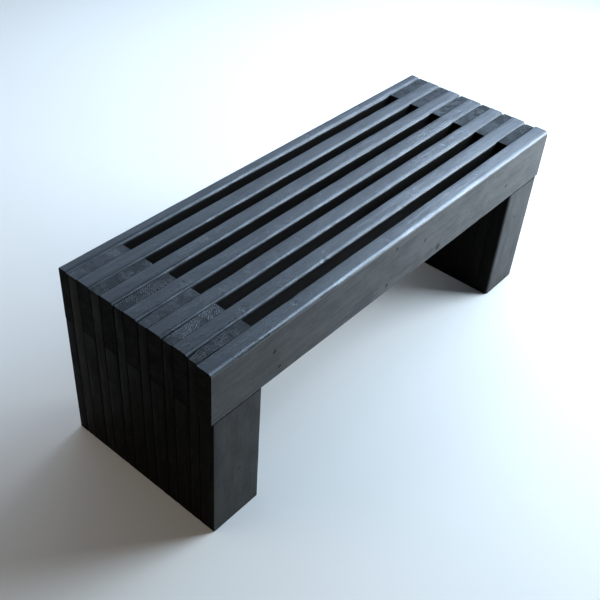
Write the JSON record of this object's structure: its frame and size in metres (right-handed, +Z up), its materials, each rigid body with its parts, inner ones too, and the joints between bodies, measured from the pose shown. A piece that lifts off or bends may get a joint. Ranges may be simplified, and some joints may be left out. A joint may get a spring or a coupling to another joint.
{
  "type": "backless bench",
  "caption": "Low backless bench of dark-stained planed boards: long slats on edge with open gaps, and solid block legs of alternating upright boards at both ends.",
  "frame": {"origin": "on the ground, at the middle of the bench's length and depth", "axes": "+X along the seat towards the right-hand leg, +Y towards the rear (the side of the thinner slat), +Z up"},
  "size_m": [1.186, 0.417, 0.45],
  "materials": {
    "stained_slat": "satin blue-black stain on planed softwood",
    "stained_leg_board": "satin blue-black stain on planed softwood",
    "stained_spacer": "blue-black stain, end grain on top",
    "screw_steel": "zinc-plated steel",
    "dowel_beech": "plain beech"
  },
  "bodies": {
    "root": {"seat_slat_1": "stained_slat", "seat_slat_2": "stained_slat", "seat_slat_3": "stained_slat", "seat_slat_4": "stained_slat", "seat_slat_5": "stained_slat", "seat_slat_6": "stained_slat", "seat_slat_7": "stained_slat", "left_leg_board_1": "stained_leg_board", "left_leg_board_2": "stained_leg_board", "left_leg_board_3": "stained_leg_board", "left_leg_board_4": "stained_leg_board", "left_leg_board_5": "stained_leg_board", "left_leg_board_6": "stained_leg_board", "left_leg_board_7": "stained_leg_board", "right_leg_board_1": "stained_leg_board", "right_leg_board_2": "stained_leg_board", "right_leg_board_3": "stained_leg_board", "right_leg_board_4": "stained_leg_board", "right_leg_board_5": "stained_leg_board", "right_leg_board_6": "stained_leg_board", "right_leg_board_7": "stained_leg_board", "left_spacer_1": "stained_spacer", "left_spacer_2": "stained_spacer", "left_spacer_3": "stained_spacer", "left_spacer_4": "stained_spacer", "left_spacer_5": "stained_spacer", "left_spacer_6": "stained_spacer", "right_spacer_1": "stained_spacer", "right_spacer_2": "stained_spacer", "right_spacer_3": "stained_spacer", "right_spacer_4": "stained_spacer", "right_spacer_5": "stained_spacer", "right_spacer_6": "stained_spacer", "left_slat_screws": "screw_steel", "right_slat_screws": "screw_steel", "left_spacer_screws": "screw_steel", "right_spacer_screws": "screw_steel", "left_dowels": "dowel_beech", "right_dowels": "dowel_beech"}
  },
  "joints": []
}
